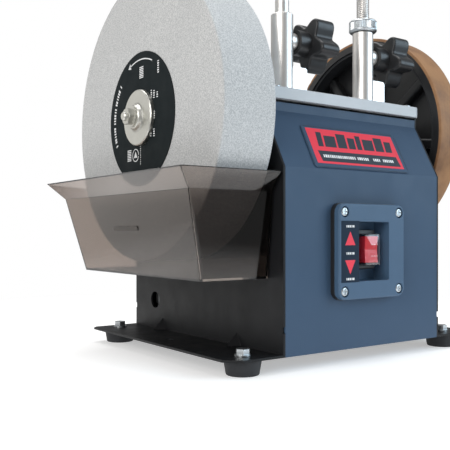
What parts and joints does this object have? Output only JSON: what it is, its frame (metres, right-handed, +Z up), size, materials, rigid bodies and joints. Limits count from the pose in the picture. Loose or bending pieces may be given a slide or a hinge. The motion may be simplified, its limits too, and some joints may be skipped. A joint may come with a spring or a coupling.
{
  "type": "wet grinding sharpener",
  "caption": "Bench sharpener with a slow stone wheel running in a hung water trough, a leather honing wheel, a sliding tool rest, a rocker switch and a carrying handle.",
  "frame": {"origin": "on the floor plane under the middle of the overall length and depth", "axes": "+Z up, +X along the main shaft from the stone to the honing wheel, +Y from the switch side to the back"},
  "size_m": [0.3569, 0.263, 0.348],
  "materials": {
    "black_paint": "fine satin powder coat",
    "slate_paint": "smooth satin paint",
    "cast_plate": "fine blasted, clear coated",
    "polished_steel": "bright plated",
    "zinc_steel": "zinc plated",
    "turned_steel": "turned, fine rings",
    "bronze": "sintered",
    "bearing_steel": "ground",
    "grit_stone": "fine grained, matt",
    "dark_label": "printed, satin",
    "red_plate": "gloss print",
    "smoke_plastic": "clear smoke tint",
    "clear_plastic": "clear",
    "slate_plastic": "moulded satin",
    "black_plastic": "moulded satin",
    "red_plastic": "translucent gloss",
    "honing_leather": "smooth grain",
    "black_rubber": "matt",
    "lamination": "stacked sheet",
    "copper_wire": "varnished windings",
    "can_aluminium": "drawn can"
  },
  "bodies": {
    "frame": {"bracket_bolts": "zinc_steel", "bracket_standoffs": "zinc_steel", "capacitor_clip": "zinc_steel", "cord_gland": "black_plastic", "cover_screws": "zinc_steel", "floor_pan": "black_paint", "foot_bolts": "zinc_steel", "foot_washers": "zinc_steel", "front_badge": "red_plate", "front_cover": "slate_paint", "handle_arms": "black_plastic", "handle_grip": "black_plastic", "handle_screws": "zinc_steel", "left_side_plate": "black_paint", "motor_bearings": "bearing_steel", "motor_bracket": "black_paint", "motor_end_bell_left": "cast_plate", "motor_end_bell_right": "cast_plate", "motor_tie_bolts": "zinc_steel", "rear_cover": "black_paint", "right_side_plate": "black_paint", "rocker_cover": "clear_plastic", "rubber_feet": "black_rubber", "run_capacitor": "can_aluminium", "shaft_bushes": "bronze", "stator_core": "lamination", "stator_windings": "copper_wire", "support_sleeves": "polished_steel", "switch_bezel": "slate_plastic", "switch_body": "black_plastic", "switch_gasket": "black_plastic", "switch_label": "dark_label", "switch_screws": "zinc_steel", "top_plate": "cast_plate", "trough_pins": "zinc_steel"},
    "spindle": {"main_shaft": "turned_steel", "grinding_stone": "grit_stone", "stone_label": "dark_label", "stone_washer_outer": "turned_steel", "stone_washer_inner": "turned_steel", "stone_nut": "turned_steel", "shaft_collars": "turned_steel", "honing_wheel": "black_plastic", "honing_leather": "honing_leather", "drive_tyre": "black_rubber", "honing_washer": "zinc_steel", "honing_hand_nut": "black_plastic"},
    "rotor": {"rotor_core": "lamination", "rotor_shaft": "turned_steel", "drive_roller": "turned_steel", "motor_fan": "black_plastic"},
    "rest": {"rest_bar": "polished_steel", "rest_legs": "polished_steel"},
    "adjuster": {"height_nut": "polished_steel"},
    "left_lock": {"lock_knob_left": "black_plastic", "lock_stud_left": "zinc_steel"},
    "right_lock": {"lock_knob_right": "black_plastic", "lock_stud_right": "zinc_steel"},
    "rocker": {"switch_rocker": "red_plastic"},
    "trough": {"water_trough": "smoke_plastic"}
  },
  "joints": [
    {"name": "spindle_spin", "type": "hinge", "parent": "frame", "child": "spindle", "pos_m": [0, 0, 0.211], "axis": [1, 0, 0], "continuous": true},
    {"name": "rotor_spin", "type": "hinge", "parent": "frame", "child": "rotor", "pos_m": [0, 0, 0.121], "axis": [1, 0, 0], "continuous": true},
    {"name": "rest_slide", "type": "slide", "parent": "frame", "child": "rest", "axis": [0, 0, 1], "range_m": [0, 0.05]},
    {"name": "adjuster_spin", "type": "hinge", "parent": "rest", "child": "adjuster", "pos_m": [0.05325, -0.0765, 0.3055], "axis": [0, 0, 1], "continuous": true},
    {"name": "left_lock_turn", "type": "hinge", "parent": "frame", "child": "left_lock", "pos_m": [-0.00675, -0.0765, 0.2775], "axis": [1, 0, 0], "range_deg": [0, 360]},
    {"name": "right_lock_turn", "type": "hinge", "parent": "frame", "child": "right_lock", "pos_m": [0.09325, -0.0765, 0.2775], "axis": [1, 0, 0], "range_deg": [0, 360]},
    {"name": "rocker_tilt", "type": "hinge", "parent": "frame", "child": "rocker", "pos_m": [0.00975, -0.1175, 0.0964], "axis": [1, 0, 0], "range_deg": [-7, 7]},
    {"name": "trough_lift", "type": "slide", "parent": "frame", "child": "trough", "axis": [0, 0, 1], "range_m": [0, 0.0025]}
  ],
  "couplings": [
    {"joint": "rotor_spin", "follows": "spindle_spin", "ratio": 14.265}
  ]
}
